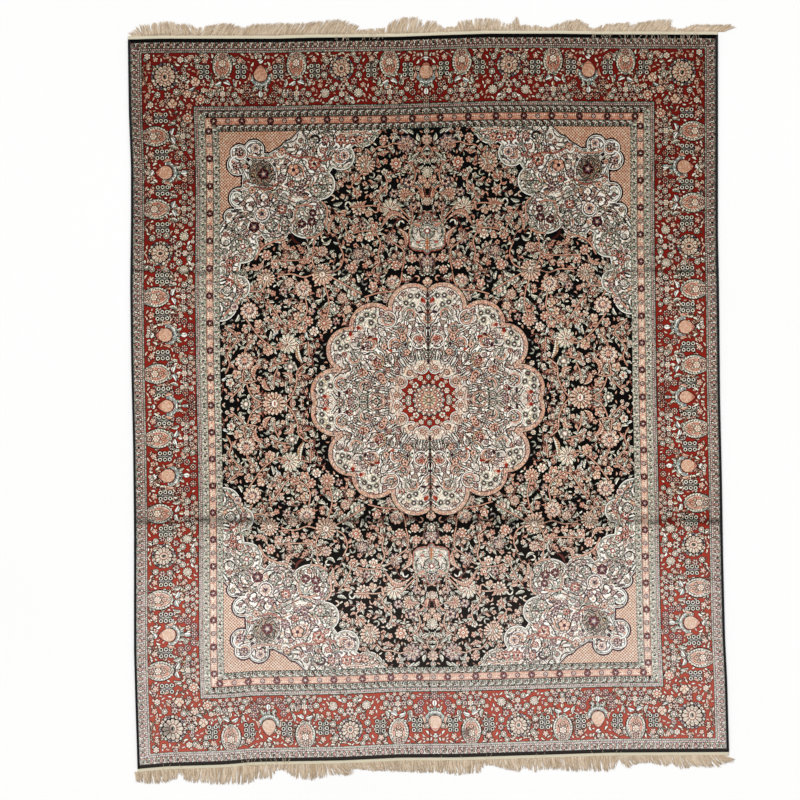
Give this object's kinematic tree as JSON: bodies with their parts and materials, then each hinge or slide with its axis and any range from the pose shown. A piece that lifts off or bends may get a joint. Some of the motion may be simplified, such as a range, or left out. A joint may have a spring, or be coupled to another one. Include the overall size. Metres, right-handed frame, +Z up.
{
  "type": "oriental silk rug",
  "caption": "Flat hand-knotted silk rug with overcast sides, a woven band and a fringe at each end.",
  "frame": {"origin": "middle of the rug's outline with its fringes, on the floor that it lies on", "axes": "+X across the rug to the picture's right, +Y along the rug to the picture's top, +Z up out of the pile"},
  "size_m": [2.5498, 3.2498, 0.006],
  "materials": {
    "silk_pile": "low silk pile with a soft sheen",
    "silk_overcast": "dark silk overcasting",
    "cotton_warp": "undyed twisted cotton, matt"
  },
  "bodies": {
    "root": {"pile_body": "silk_pile", "selvedge_left": "silk_overcast", "selvedge_right": "silk_overcast", "fringe_top": "cotton_warp", "fringe_bottom": "cotton_warp"}
  },
  "joints": []
}
